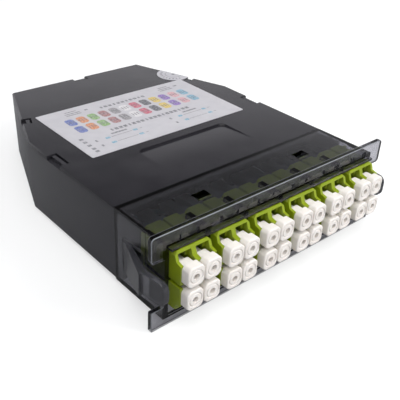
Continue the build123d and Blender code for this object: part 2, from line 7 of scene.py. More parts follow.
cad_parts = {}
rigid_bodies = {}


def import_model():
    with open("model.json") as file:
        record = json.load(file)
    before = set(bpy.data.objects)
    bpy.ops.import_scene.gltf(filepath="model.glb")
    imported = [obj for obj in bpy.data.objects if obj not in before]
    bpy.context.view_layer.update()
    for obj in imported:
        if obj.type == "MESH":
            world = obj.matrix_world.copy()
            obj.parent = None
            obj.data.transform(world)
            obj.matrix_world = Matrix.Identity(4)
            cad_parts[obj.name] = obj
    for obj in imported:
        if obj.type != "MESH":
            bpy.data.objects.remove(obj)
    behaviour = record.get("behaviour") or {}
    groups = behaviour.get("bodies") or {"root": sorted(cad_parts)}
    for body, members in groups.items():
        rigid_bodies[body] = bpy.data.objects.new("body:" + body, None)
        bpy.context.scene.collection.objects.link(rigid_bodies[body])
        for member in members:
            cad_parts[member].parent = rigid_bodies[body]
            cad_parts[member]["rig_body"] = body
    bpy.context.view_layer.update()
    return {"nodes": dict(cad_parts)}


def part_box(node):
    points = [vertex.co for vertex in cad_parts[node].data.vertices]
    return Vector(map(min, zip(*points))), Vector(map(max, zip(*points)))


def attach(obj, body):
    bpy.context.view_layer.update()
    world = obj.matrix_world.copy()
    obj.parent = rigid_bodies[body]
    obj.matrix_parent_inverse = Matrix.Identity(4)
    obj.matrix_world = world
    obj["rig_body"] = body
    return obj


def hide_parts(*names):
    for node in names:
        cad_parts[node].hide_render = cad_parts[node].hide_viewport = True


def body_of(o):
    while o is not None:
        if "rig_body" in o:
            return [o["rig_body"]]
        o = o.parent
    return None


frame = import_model()
nodes = frame["nodes"]

MM = 0.001

# Soft edges of the moulded pieces, and the angles that tell an edge from a round or flat face
FRAME_EDGE = 0.1 * MM
FLANGE_EDGE = 0.22 * MM
FLANGE_EDGE_STEPS = 3
BODY_EDGE = 0.3 * MM
LID_EDGE = 0.2 * MM
ADAPTER_EDGE = 0.22 * MM
EDGE_STEPS = 2
EDGE_ANGLE = radians(32)
SMOOTH_ANGLE = radians(50)
FLAT_ANGLE = radians(0.5)
MERGE_GAP = 0.002 * MM

# The flange and the lip in front of it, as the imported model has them, and how far off
# an edge may lie from the flange's faces and from an ear's root
LIP_REACH = 1.2 * MM
FLANGE_THICKNESS = 1.7 * MM
EAR_WIDTH = 4.5 * MM
PLANE_GAP = 0.01 * MM
EAR_GAP = 0.1 * MM

# The lid's recess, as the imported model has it
RECESS_REACH = 20.5 * MM
RECESS_FRONT = -29.0 * MM
RECESS_BACK = -10.0 * MM

# Guide tongues of the tray, inside the front frame's side walls and above its latch openings.
# The root and the arm each give where they end at the back and how high they reach.
TONGUE_OUTER = 44.1 * MM
TONGUE_WALL = 1.05 * MM
TONGUE_FRONT = -46.9 * MM
TONGUE_LOW = 20.4 * MM
TONGUE_ROOT = (-38.5 * MM, 24.8 * MM)
TONGUE_ARM = (-39.1 * MM, 26.8 * MM)

# The adapters' mouths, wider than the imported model's
ADAPTER_COUNT = 6
MOUTH_WIDTH = 4.6 * MM
MOUTH_HEIGHT = 5.3 * MM
MOUTH_BACK = 0.6 * MM
MOUTH_LENGTH = 6.0 * MM

# Dust caps
CAP_CORNER = 1.3 * MM
CAP_CORNER_STEPS = 3
CAP_CORNER_PROFILE = 0.34
CAP_FACE_EDGE = 0.4 * MM
CAP_FACE_EDGE_STEPS = 3
CAP_NECK_WIDTH = 4.7 * MM
CAP_NECK_HEIGHT = 5.0 * MM
CAP_NECK_LENGTH = 3.15 * MM
CAP_PLUG_WIDTH = 2.9 * MM
CAP_HEAD_LENGTH = 2.85 * MM
CAP_RING_RADIUS = 2.15 * MM
CAP_RING_WIRE = 0.26 * MM
CAP_RING_SIDES = 40
CAP_RING_WIRE_SIDES = 8
CAP_HOLE_RADIUS = 1.0 * MM
CAP_HOLE_DEPTH = 2.2 * MM
CAP_HOLE_SIDES = 32

# A face looks along Y from this share of its normal on, and an edge runs along Y within this gap
FACING = 0.9
EDGE_GAP = 0.1 * MM

# Numbers on the flange, measured up from the caps of the upper row
PORT_COUNT = 2 * ADAPTER_COUNT
NUMBER_SIZE = 2.4 * MM
NUMBER_BOLD = 0.16 * MM
NUMBER_LIFT = 4.7 * MM

# Ovals on the label, from the label's centre
PRINT_THICKNESS = 0.02 * MM
OVAL_COUNT = 12
OVAL_PITCH = 4.72 * MM
OVAL_WIDTH = 3.5 * MM
OVAL_LENGTH = 5.5 * MM
OVAL_CORNER = 1.2 * MM
OVAL_ROWS = (8.0 * MM, 1.2 * MM)
OVAL_CORNER_STEPS = 5
OVAL_COLORS = (
    "#3a5098", "#b8703c", "#6f9450", "#8c5456", "#767276", "#c2bfc1",
    "#ab3a56", "#34343e", "#bfa43c", "#704a9e", "#bb8a90", "#5d8fa6",
)
OVAL_MARKS = (-1.1 * MM, 0.0, 1.1 * MM)
OVAL_MARK_WIDTH = 0.4 * MM
OVAL_MARK_LENGTH = 2.0 * MM

# Plain bars on the label, in millimetres from its centre. The lines above and below the ovals:
# x and y of the first bar, pitch, count, usual width, width of a short one, how often it comes, length
UPPER_LINE = (-9.6, 13.4, 1.95, 11, 1.35, 0.9, 3, 1.5)
LOWER_LINE = (-17.2, -5.3, 1.92, 19, 1.4, 0.8, 4, 1.7)
# Two plain diagrams: each bar's x from the diagram's left end, its width and length
DIAGRAM_LEFTS = (-22.0, 10.4)
DIAGRAM_ROWS = (-9.9, -13.9)
DIAGRAM_BARS = ((-4.6, 0.8, 1.4), (5.8, 8.6, 0.25), (14.0, 1.2, 0.3))
DIAGRAM_TOP = (6.0, -7.9, 6.6, 0.9)
DIAGRAM_ENDS = (0.0, 11.6)
DIAGRAM_END_WIDTH = 1.9
DIAGRAM_END_LENGTH = 1.3
DIAGRAM_END_CORNER = 0.3
DIAGRAM_END_STEPS = 2
# Bars in the upper corners: each row's y, then its width on the left and on the right
CORNER_ROWS = ((16.4, 4.8, 4.6), (14.9, 6.4, 6.2), (13.6, 6.4, 6.2))
CORNER_PLACES = (-21.4, 22.0)
CORNER_LENGTH = 0.5
# Single marks: x, y, width and length
CORNER_MARKS = ((-15.4, 15.0, 1.4, 0.9), (27.6, 15.0, 1.6, 0.9))
SIDE_ROWS = (-6.0, -8.6, -11.4, -14.2, -16.4)
SIDE_MARK = (-30.4, 1.5, 1.3)

# Print on the round seal
SEAL_RADIUS = 7.0 * MM
SEAL_DOT_RADIUS = 0.75 * MM
SEAL_RING_RADIUS = 3.6 * MM
SEAL_RING_WIDTH = 0.25 * MM
SEAL_BAR_REACH = 5.3 * MM
SEAL_BAR_WIDTH = 1.1 * MM
SEAL_BAR_LENGTH = 0.6 * MM
SEAL_BAR_TURNS = [radians(angle) for angle in range(-60, 100, 16)]
SEAL_SIDES = 48

# The lid's taper edge, where the seal folds: its distance from the seal's middle, and its turn
SEAL_FOLD = 0.9 * MM
TAPER_TURN = radians(19.95)

# Floor, with the share of its own white that the camera and the clear pieces see
FLOOR_SIZE = 6
FLOOR_TILT = radians(1.3)
FLOOR_GAP = 0.02 * MM
FLOOR_SEEN = 0.55
FLOOR_THROUGH = 0.28

# Room: its light, and the bright wall that fades out upwards in what is mirrored
ROOM_LIGHT = 0.5
WALL_FROM = 0.31
WALL_TO = 0.5
WALL_LIGHT = 0.95
CEILING_LIGHT = 0.07

# Lamps: place, size, watts and whether they are mirrored
LAMPS = {
    "key_light": ((-0.35, -0.45, 0.75), 0.5, 3.2, True),
    "top_light": ((-0.1, -0.1, 1.0), 0.7, 3.2, True),
    "fill_light": ((0.42, -0.5, 0.36), 0.42, 4.6, False),
}
LAMP_AIM = (0, 0, 0.01)

# Camera, fitted to the photograph: its turns in radians, its lens and sensor in millimetres
CAMERA_PLACE = (-0.13004, -0.165655, 0.12614)
CAMERA_PITCH = 0.5506
CAMERA_TURN = -0.7374
CAMERA_ROLL = 0.0509
CAMERA_LENS = 56.68
CAMERA_SENSOR = 36
CAMERA_NEAR = 0.01


def linear(code, alpha=1.0):
    """An sRGB hex colour as linear red, green, blue and alpha."""
    values = [int(code[i : i + 2], 16) / 255 for i in (1, 3, 5)]
    lit = [v / 12.92 if v <= 0.04045 else ((v + 0.055) / 1.055) ** 2.4 for v in values]
    return (*lit, alpha)


def add_node(tree, kind, settings=None, values=None, links=None):
    """Adds a node with its settings, its input values and the sockets linked into it."""
    node = tree.nodes.new(kind)
    for key, value in (settings or {}).items():
        setattr(node, key, value)
    for key, value in (values or {}).items():
        node.inputs[key].default_value = value
    for key, source in (links or {}).items():
        tree.links.new(source, node.inputs[key])
    return node


def new_material(name):
    """A material with a bare node tree: its tree, Principled shader and Object coordinates."""
    material = bpy.data.materials.new(name)
    material.use_nodes = True
    tree = material.node_tree
    tree.nodes.clear()
    shader = add_node(tree, "ShaderNodeBsdfPrincipled")
    add_node(tree, "ShaderNodeOutputMaterial", links={"Surface": shader.outputs["BSDF"]})
    place = add_node(tree, "ShaderNodeTexCoord").outputs["Object"]
    return material, tree, shader, place


def set_values(shader, **values):
    """Sets plain input values; an underscore in a name stands for a space."""
    for key, value in values.items():
        shader.inputs[key.replace("_", " ")].default_value = value


def mottled(tree, place, grain, low, high, detail=3.0):
    """Noise of a grain size in metres that runs from a low to a high value."""
    noise = add_node(
        tree, "ShaderNodeTexNoise", values={"Scale": 1 / grain, "Detail": detail},
        links={"Vector": place},
    )
    # The noise itself mostly stays between 0.3 and 0.7
    spread = add_node(
        tree, "ShaderNodeMapRange",
        values={"From Min": 0.3, "From Max": 0.7, "To Min": low, "To Max": high},
        links={"Value": noise.outputs["Fac"]},
    )
    return spread.outputs["Result"]


def tint(tree, amount, first, second):
    """A colour between two hex colours, by an amount."""
    mix = add_node(
        tree, "ShaderNodeMix", settings={"data_type": "RGBA"}, links={"Factor": amount}
    )
    # The mix node's colours are its inputs 6 and 7 and its output 2
    mix.inputs[6].default_value = linear(first)
    mix.inputs[7].default_value = linear(second)
    return mix.outputs[2]


def bump(tree, shader, height, distance, strength=1.0):
    """Raises the surface by a height pattern, over a distance in metres."""
    node = add_node(
        tree, "ShaderNodeBump", values={"Distance": distance, "Strength": strength},
        links={"Height": height},
    )
    tree.links.new(node.outputs["Normal"], shader.inputs["Normal"])


def smoke_polycarbonate(name, color, deep, clear, rough, dye=0.0, sink=0.3):
    """Smoke-tinted polycarbonate, moulded in a polished tool: glossy, see-through and dark."""
    material, tree, shader, place = new_material(name)
    if dye:
        # The dye swallows light along its way, so thick walls seen end on are nearly black
        depth = add_node(
            tree, "ShaderNodeVolumeAbsorption", values={"Color": linear("#5c5b66"), "Density": dye}
        )
        tree.links.new(depth.outputs["Volume"], tree.nodes["Material Output"].inputs["Volume"])
    # Streaks of dye from the melt's flow, some twenty millimetres across
    amount = mottled(tree, place, 22 * MM, 0.0, 1.0)
    tree.links.new(tint(tree, amount, color, deep), shader.inputs["Base Color"])
    # Wear of the tool's polish, some ten millimetres across
    roughness = mottled(tree, place, 9 * MM, rough * 0.8, rough * 1.25)
    tree.links.new(roughness, shader.inputs["Roughness"])
    set_values(shader, IOR=1.52, Transmission_Weight=clear)
    if sink:
        # Sink marks of a moulding, some fourteen millimetres across and a few microns deep
        bump(tree, shader, mottled(tree, place, 14 * MM, 0.0, 1.0, 1.0), 0.01 * MM, sink)
    return material


def moulded(name, color, deep, rough, scatter=0.0):
    """An opaque moulded plastic with a faint change of shade and gloss."""
    material, tree, shader, place = new_material(name)
    # Shade and gloss follow the melt's flow, a few millimetres across
    amount = mottled(tree, place, 6 * MM, 0.0, 1.0)
    tree.links.new(tint(tree, amount, color, deep), shader.inputs["Base Color"])
    roughness = mottled(tree, place, 3 * MM, rough * 0.85, rough * 1.15)
    tree.links.new(roughness, shader.inputs["Roughness"])
    set_values(shader, IOR=1.5)
    if scatter:
        set_values(shader, Subsurface_Weight=scatter, Subsurface_Scale=0.6 * MM)
        shader.inputs["Subsurface Radius"].default_value = (1.0, 0.85, 0.7)
    # The tool's grain is some 0.05 mm across, too fine to show, so it is drawn at 0.8 mm
    bump(tree, shader, mottled(tree, place, 0.8 * MM, 0.0, 1.0, 2.0), 0.006 * MM, 0.5)
    return material


def label_paper(name, color, deep):
    """Laminated label paper: white, with a satin film over a faint fibre grain."""
    material, tree, shader, place = new_material(name)
    amount = mottled(tree, place, 4 * MM, 0.0, 1.0)
    tree.links.new(tint(tree, amount, color, deep), shader.inputs["Base Color"])
    set_values(shader, Roughness=0.55, IOR=1.5, Coat_Weight=0.2, Coat_Roughness=0.35)
    # Paper fibres are some 0.03 mm thick, too fine to show, so their grain is drawn at 0.5 mm
    bump(tree, shader, mottled(tree, place, 0.5 * MM, 0.0, 1.0), 0.004 * MM, 0.5)
    return material


def ink(name, color, uneven=0.25, rough=0.5, shine=0.5):
    """Printing ink: flat colour that dries a little uneven, so the paper shows through."""
    material, tree, shader, place = new_material(name)
    amount = mottled(tree, place, 0.7 * MM, 0.0, uneven)
    tree.links.new(tint(tree, amount, color, "#ffffff"), shader.inputs["Base Color"])
    set_values(shader, Roughness=rough, IOR=1.5, Specular_IOR_Level=shine)
    return material


def turned_steel(name):
    """Zinc-plated steel, turned: a grey shine that the plating blurs in spots."""
    material, tree, shader, place = new_material(name)
    # Crystals of the plating are too fine to show, so its spots are drawn at 0.4 mm
    roughness = mottled(tree, place, 0.4 * MM, 0.28, 0.42)
    tree.links.new(roughness, shader.inputs["Roughness"])
    set_values(shader, Base_Color=linear("#b9bcc0"), Metallic=1.0)
    return material


# The frame was moulded in a polished tool: clear, glossy and nearly black where it is seen end on
frame_clear = smoke_polycarbonate(
    "Smoke polycarbonate, polished moulding", "#cbcbd1", "#c2c2c8", 1.0, 0.02, dye=200, sink=0
)
# The flange's rounded outline is given a pale matt grey, a painted highlight that stands in for the thin
# pale line its edge shows
painted_edge_highlight = moulded("Smoke polycarbonate, painted edge highlight", "#7e8085", "#74767b", 0.3)
# The tray, lid and latches were moulded in a finer-grained tool: dark, satin and a little see-through
base_clear = smoke_polycarbonate("Smoke polycarbonate, moulded tray", "#4a494e", "#403f44", 0.5, 0.16)
lid_clear = smoke_polycarbonate("Smoke polycarbonate, moulded lid", "#3b3a3f", "#313035", 0.5, 0.18)
latch_clear = smoke_polycarbonate("Smoke polycarbonate, moulded latch", "#6c6c72", "#5b5b61", 0.8, 0.12)
# Solid moulded plastics: even colour with a soft sheen; the caps' polyethylene lets light in a little
lime_pbt = moulded("Lime PBT, moulded adapter", "#829213", "#75850f", 0.34)
cap_plastic = moulded("White polyethylene, moulded cap", "#e6e1dc", "#dcd6d0", 0.4, scatter=0.12)
plug_plastic = moulded("Dark grey PBT, moulded plug", "#3c4140", "#343938", 0.4)
black_plastic = moulded("Black PBT, moulded adapter", "#1c1c1e", "#242427", 0.4)
aqua_plastic = moulded("Aqua polycarbonate, moulded plug", "#2f7f8c", "#29727e", 0.4)
block_plastic = moulded("Black ABS, moulded block", "#202022", "#29292c", 0.45)
# Fibres: a smooth extruded jacket with a dull sheen, and thin legs in mixed pale colours
jacket_pvc = moulded("Aqua PVC, extruded jacket", "#32595e", "#2c5156", 0.45)
leg_coating = moulded("Acrylate coating, drawn fibre", "#8f8d86", "#70808b", 0.4)
# Paper under a satin film, printed in flat colours
paper = label_paper("White label paper, laminated", "#bbb9bd", "#b4b2b7")
seal_paper = label_paper("White seal paper, laminated", "#b9b7bc", "#b2b0b5")
dark_ink = ink("Grey ink, printed", "#5c5b63")
oval_inks = [ink(f"Coloured ink {i + 1}, printed", color) for i, color in enumerate(OVAL_COLORS)]
# Pad-printed numbers: dead matt black on the glossy flange
number_ink = ink("Black ink, pad-printed", "#06060c", uneven=0.0, rough=0.7, shine=0.15)
# Turned and plated: grey metal with a blurred shine
screw_steel = turned_steel("Zinc-plated steel, turned")


def paint(piece, material):
    """Gives a piece one material in its only slot."""
    piece.data.materials.clear()
    piece.data.materials.append(material)


def only(piece):
    """Makes one object the active one and the only one selected."""
    bpy.ops.object.select_all(action="DESELECT")
    piece.select_set(True)
    bpy.context.view_layer.objects.active = piece


def pick_facing(piece, way):
    """Selects the faces, in edit mode, that look along Y (1) or against it (-1)."""
    bpy.ops.mesh.select_all(action="DESELECT")
    bpy.ops.object.mode_set(mode="OBJECT")
    for face in piece.data.polygons:
        face.select = way * face.normal.y > FACING
    bpy.ops.object.mode_set(mode="EDIT")


def pick_edges(piece, test):
    """Selects the edges, in edit mode, whose two ends pass a test."""
    bpy.ops.mesh.select_mode(type="EDGE")
    bpy.ops.mesh.select_all(action="DESELECT")
    bpy.ops.object.mode_set(mode="OBJECT")
    points = piece.data.vertices
    for edge in piece.data.edges:
        first, second = (points[i].co for i in edge.vertices)
        edge.select = test(first, second)
    bpy.ops.object.mode_set(mode="EDIT")


def runs_along_y(first, second):
    """True for an edge along Y."""
    return abs(first.x - second.x) < EDGE_GAP and abs(first.z - second.z) < EDGE_GAP


def join(pieces, name):
    """Joins pieces into the first and names the result."""
    bpy.ops.object.select_all(action="DESELECT")
    for piece in pieces:
        piece.select_set(True)
    bpy.context.view_layer.objects.active = pieces[0]
    bpy.ops.object.join()
    pieces[0].name = name
    return pieces[0]


def settle(piece):
    """Moves an object's place, turn and scale into its mesh."""
    only(piece)
    bpy.ops.object.transform_apply(location=True, rotation=True, scale=True)


def box(middle, size, turn=0.0):
    """A box about a point, turned about Z."""
    bpy.ops.mesh.primitive_cube_add(size=1, location=middle, rotation=(0, 0, turn))
    made = bpy.context.object
    made.scale = size
    settle(made)
    return made


def disc(radius, depth, sides, middle, along_y=False):
    """A round disc about a point, lying flat or with its axis along Y."""
    bpy.ops.mesh.primitive_cylinder_add(
        radius=radius, depth=depth, vertices=sides, location=middle,
        rotation=(pi / 2 if along_y else 0, 0, 0),
    )
    made = bpy.context.object
    settle(made)
    return made


def flatten_normals(piece):
    """Smooth shading that keeps the large faces flat and only rounds the edges."""
    only(piece)
    bpy.ops.object.shade_smooth_by_angle(angle=SMOOTH_ANGLE)
    weighted = piece.modifiers.new("Normals", "WEIGHTED_NORMAL")
    weighted.mode = "FACE_AREA"
    weighted.keep_sharp = True
    bpy.ops.object.modifier_apply(modifier="Normals")


def copy_piece(node):
    """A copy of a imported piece, merged and without the seams between flat faces."""
    piece = bpy.data.objects.new(f"{node}_soft", nodes[node].data.copy())
    bpy.context.collection.objects.link(piece)
    only(piece)
    bpy.ops.object.mode_set(mode="EDIT")
    bpy.ops.mesh.select_all(action="SELECT")
    bpy.ops.mesh.remove_doubles(threshold=MERGE_GAP)
    bpy.ops.mesh.dissolve_limited(angle_limit=FLAT_ANGLE)
    bpy.ops.object.mode_set(mode="OBJECT")
    return piece


def soften(piece, node, edge, material):
    """Rounds a copy's sharp edges, as a moulding's are, and puts it in its node's place."""
    only(piece)
    if edge:
        round_edges = piece.modifiers.new("Edges", "BEVEL")
        round_edges.width = edge
        round_edges.segments = EDGE_STEPS
        round_edges.limit_method = "ANGLE"
        round_edges.angle_limit = EDGE_ANGLE
        round_edges.use_clamp_overlap = True
        bpy.ops.object.modifier_apply(modifier="Edges")
    flatten_normals(piece)
    if material:
        paint(piece, material)
    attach(piece, body_of(nodes[node])[0])
    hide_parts(node)


def combine(piece, other, operation="DIFFERENCE"):
    """Takes another object's shape out of a piece, or adds it."""
    only(piece)
    change = piece.modifiers.new("Shape", "BOOLEAN")
    change.operation = operation
    change.solver = "EXACT"
    change.object = other
    bpy.ops.object.modifier_apply(modifier="Shape")
    bpy.data.objects.remove(other)


frame_low, frame_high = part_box("front_frame")
flange_front = frame_low.y + LIP_REACH


def on_outline(first, second):
    """True for the edges round the flange's front and back, out to its ears."""
    ear_root = frame_high.x - EAR_WIDTH
    for plane in (flange_front, flange_front + FLANGE_THICKNESS):
        if max(abs(first.y - plane), abs(second.y - plane)) < PLANE_GAP:
            along_top = min(first.z, second.z) > frame_high.z - PLANE_GAP
            near, far = sorted((abs(first.x), abs(second.x)))
            if along_top or (near > ear_root - EAR_GAP and far > ear_root + EAR_GAP):
                return True
    return False


def in_recess(point):
    """True for a point of the lid's recess."""
    return abs(point.x) < RECESS_REACH and RECESS_FRONT < point.y < RECESS_BACK


# Front frame: a wider round on the flange's outline
front_frame = copy_piece("front_frame")
only(front_frame)
bpy.ops.object.mode_set(mode="EDIT")
pick_edges(front_frame, on_outline)
paint(front_frame, frame_clear)
# The round's faces take this pale second material, a painted highlight along the flange's outline
front_frame.data.materials.append(painted_edge_highlight)
front_frame.active_material_index = 1
bpy.ops.mesh.bevel(offset=FLANGE_EDGE, segments=FLANGE_EDGE_STEPS, material=1)
bpy.ops.object.mode_set(mode="OBJECT")
soften(front_frame, "front_frame", FRAME_EDGE, None)

# Rear housing with its guide tongues
rear_base = copy_piece("rear_base")
for side in (-1, 1):
    for back, top in (TONGUE_ROOT, TONGUE_ARM):
        x = side * (TONGUE_OUTER - TONGUE_WALL / 2)
        tongue = box(
            (x, (TONGUE_FRONT + back) / 2, (TONGUE_LOW + top) / 2),
            (TONGUE_WALL, back - TONGUE_FRONT, top - TONGUE_LOW),
        )
        combine(rear_base, tongue, "UNION")
soften(rear_base, "rear_base", BODY_EDGE, base_clear)

# Latches
for node in ("side_latch_left", "side_latch_right"):
    soften(copy_piece(node), node, BODY_EDGE, latch_clear)

# Lid: its sloping recess runs out to nothing, so the recess keeps its sharp edges
lid = copy_piece("lid")
only(lid)
bpy.ops.object.mode_set(mode="EDIT")
bpy.ops.mesh.select_mode(type="EDGE")
bpy.ops.mesh.select_all(action="DESELECT")
bpy.ops.mesh.edges_select_sharp(sharpness=EDGE_ANGLE)
bpy.ops.object.mode_set(mode="OBJECT")
for edge in lid.data.edges:
    if all(in_recess(lid.data.vertices[i].co) for i in edge.vertices):
        edge.select = False
bpy.ops.object.mode_set(mode="EDIT")
bpy.ops.mesh.bevel(offset=LID_EDGE, segments=EDGE_STEPS, clamp_overlap=True)
bpy.ops.object.mode_set(mode="OBJECT")
soften(lid, "lid", 0, lid_clear)

# Adapters, each with its two mouths opened wide in front of the latch slots
for row in ("upper", "lower"):
    for number in range(1, ADAPTER_COUNT + 1):
        node = f"lc_adapter_{row}_{number}"
        adapter = copy_piece(node)
        for port in (2 * number - 1, 2 * number):
            low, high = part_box(f"dust_cap_{row}_{port}")
            middle = (low + high) / 2
            middle.y = flange_front - MOUTH_BACK - MOUTH_LENGTH / 2
            middle.z += MOUTH_HEIGHT / 2
            combine(adapter, box(middle, (MOUTH_WIDTH, MOUTH_LENGTH, MOUTH_HEIGHT)))
        soften(adapter, node, ADAPTER_EDGE, lime_pbt)

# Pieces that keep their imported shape
kept_looks = {
    "lid_label": paper,
    "seal_sticker": seal_paper,
    "lc_plugs_upper": plug_plastic,
    "lc_plugs_lower": plug_plastic,
    "mpo_screws": screw_steel,
}
for side in ("left", "right"):
    kept_looks[f"mpo_adapter_{side}"] = black_plastic
    kept_looks[f"mpo_cap_{side}"] = cap_plastic
    kept_looks[f"mpo_plug_{side}"] = aqua_plastic
    kept_looks[f"fibre_trunk_{side}"] = jacket_pvc
    kept_looks[f"fibre_legs_{side}"] = leg_coating
    kept_looks[f"fanout_block_{side}"] = block_plastic
for node, material in kept_looks.items():
    paint(nodes[node], material)


def make_cap():
    """A dust cap with its face at the origin's Y, about its axis, pointing to -Y."""
    low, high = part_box("dust_cap_upper_1")
    width, length, height = high - low
    cap = box((0, CAP_HEAD_LENGTH / 2, 0), (width, CAP_HEAD_LENGTH, height))
    bpy.ops.object.mode_set(mode="EDIT")
    pick_edges(cap, runs_along_y)
    bpy.ops.mesh.bevel(offset=CAP_CORNER, segments=CAP_CORNER_STEPS, profile=CAP_CORNER_PROFILE)
    bpy.ops.mesh.select_mode(type="FACE")
    pick_facing(cap, 1)
    bpy.ops.mesh.inset(thickness=(width - CAP_NECK_WIDTH) / 2)
    inset_height = height - width + CAP_NECK_WIDTH
    bpy.ops.transform.resize(value=(1, 1, CAP_NECK_HEIGHT / inset_height))
    bpy.ops.mesh.extrude_region_move(TRANSFORM_OT_translate={"value": (0, CAP_NECK_LENGTH, 0)})
    bpy.ops.mesh.inset(thickness=(CAP_NECK_WIDTH - CAP_PLUG_WIDTH) / 2)
    plug_length = length - CAP_HEAD_LENGTH - CAP_NECK_LENGTH
    bpy.ops.mesh.extrude_region_move(TRANSFORM_OT_translate={"value": (0, plug_length, 0)})
    pick_facing(cap, -1)
    bpy.ops.mesh.region_to_loop()
    bpy.ops.mesh.bevel(offset=CAP_FACE_EDGE, segments=CAP_FACE_EDGE_STEPS)
    bpy.ops.object.mode_set(mode="OBJECT")
    bpy.ops.mesh.primitive_torus_add(
        major_radius=CAP_RING_RADIUS, major_segments=CAP_RING_SIDES,
        minor_radius=CAP_RING_WIRE, minor_segments=CAP_RING_WIRE_SIDES,
        rotation=(pi / 2, 0, 0),
    )
    combine(cap, bpy.context.object)
    combine(cap, disc(CAP_HOLE_RADIUS, 2 * CAP_HOLE_DEPTH, CAP_HOLE_SIDES, (0, 0, 0), along_y=True))
    flatten_normals(cap)
    return cap


cap_model = make_cap()
for row in ("upper", "lower"):
    for number in range(1, PORT_COUNT + 1):
        node = f"dust_cap_{row}_{number}"
        low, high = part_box(node)
        cap = bpy.data.objects.new(f"{node}_soft", cap_model.data.copy())
        bpy.context.collection.objects.link(cap)
        cap.data.transform(
            Matrix.Translation(((low.x + high.x) / 2, low.y, (low.z + high.z) / 2))
        )
        paint(cap, cap_plastic)
        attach(cap, node)
        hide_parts(node)
bpy.data.objects.remove(cap_model)


def finish_print(piece, material):
    """Paints a printed piece and rides it on the housing."""
    paint(piece, material)
    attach(piece, "housing")


# Port numbers on the flange, above the upper row
numbers = []
for number in range(1, PORT_COUNT + 1):
    low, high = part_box(f"dust_cap_upper_{number}")
    bpy.ops.object.text_add(
        location=((low.x + high.x) / 2, flange_front - PRINT_THICKNESS / 4, high.z + NUMBER_LIFT),
        rotation=(pi / 2, 0, 0),
    )
    digits = bpy.context.object
    digits.data.body = str(number)
    digits.data.size = NUMBER_SIZE
    digits.data.align_x = "CENTER"
    digits.data.extrude = PRINT_THICKNESS / 2
    digits.data.offset = NUMBER_BOLD
    only(digits)
    bpy.ops.object.convert(target="MESH")
    settle(digits)
    numbers.append(digits)
finish_print(join(numbers, "port_numbers"), number_ink)


label_low, label_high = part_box("lid_label")
label_centre = (label_low + label_high) / 2
label_centre.z = label_high.z


def patch(x, y, width, length, corner=0.0, steps=1, level=PRINT_THICKNESS):
    """A thin printed patch about a point on the label, with rounded corners."""
    bpy.ops.mesh.primitive_plane_add(size=1, location=label_centre + Vector((x, y, level)))
    made = bpy.context.object
    made.scale = (width, length, 1)
    settle(made)
    bpy.ops.object.mode_set(mode="EDIT")
    bpy.ops.mesh.select_all(action="SELECT")
    if corner:
        bpy.ops.mesh.bevel(offset=corner, segments=steps, affect="VERTICES")
        bpy.ops.mesh.select_all(action="SELECT")
    bpy.ops.mesh.extrude_region_move(TRANSFORM_OT_translate={"value": (0, 0, -PRINT_THICKNESS / 2)})
    bpy.ops.mesh.select_all(action="SELECT")
    bpy.ops.mesh.normals_make_consistent(inside=False)
    bpy.ops.object.mode_set(mode="OBJECT")
    return made


def oval_x(number):
    """The place across the label of one of the twelve ovals of a row."""
    return (number - (OVAL_COUNT - 1) / 2) * OVAL_PITCH


def print_line(x, y, pitch, count, width, short, every, length):
    """A line of plain bars, with a short one now and then."""
    return [(x + i * pitch, y, width if i % every else short, length) for i in range(count)]


def print_diagram(left):
    """The bars of a diagram from its left end, with the one above them."""
    bars = [(left + x, y, width, length) for y in DIAGRAM_ROWS for x, width, length in DIAGRAM_BARS]
    x, y, width, length = DIAGRAM_TOP
    return [*bars, (left + x, y, width, length)]


def print_corners():
    """The rows of bars in the upper corners."""
    return [
        (x, y, width, CORNER_LENGTH)
        for y, *widths in CORNER_ROWS
        for x, width in zip(CORNER_PLACES, widths)
    ]


# Ovals on the label, two of each colour
for number, material in enumerate(oval_inks):
    ovals = [
        patch(oval_x(number), y, OVAL_WIDTH, OVAL_LENGTH, OVAL_CORNER, OVAL_CORNER_STEPS)
        for y in OVAL_ROWS
    ]
    finish_print(join(ovals, f"label_ovals_{number + 1}"), material)

# Plain bars on the label, and three short ones in each oval
side_x, side_width, side_length = SIDE_MARK
bar_sizes = [
    *print_line(*UPPER_LINE),
    *print_line(*LOWER_LINE),
    *print_diagram(DIAGRAM_LEFTS[0]),
    *print_diagram(DIAGRAM_LEFTS[1]),
    *print_corners(),
    *CORNER_MARKS,
    *((side_x, y, side_width, side_length) for y in SIDE_ROWS),
]
bars = [patch(*(size * MM for size in sizes)) for sizes in bar_sizes]
for y in OVAL_ROWS:
    for number in range(OVAL_COUNT):
        for step in OVAL_MARKS:
            mark_x = oval_x(number) + step
            bars.append(
                patch(mark_x, y, OVAL_MARK_WIDTH, OVAL_MARK_LENGTH, level=2 * PRINT_THICKNESS)
            )
finish_print(join(bars, "label_bars"), dark_ink)

# The diagrams' coloured ends
diagram_ends = [
    patch(
        (left + x) * MM, y * MM, DIAGRAM_END_WIDTH * MM, DIAGRAM_END_LENGTH * MM,
        DIAGRAM_END_CORNER * MM, DIAGRAM_END_STEPS,
    )
    for left in DIAGRAM_LEFTS
    for x in DIAGRAM_ENDS
    for y in DIAGRAM_ROWS
]
finish_print(join(diagram_ends, "label_teal_marks"), oval_inks[-1])

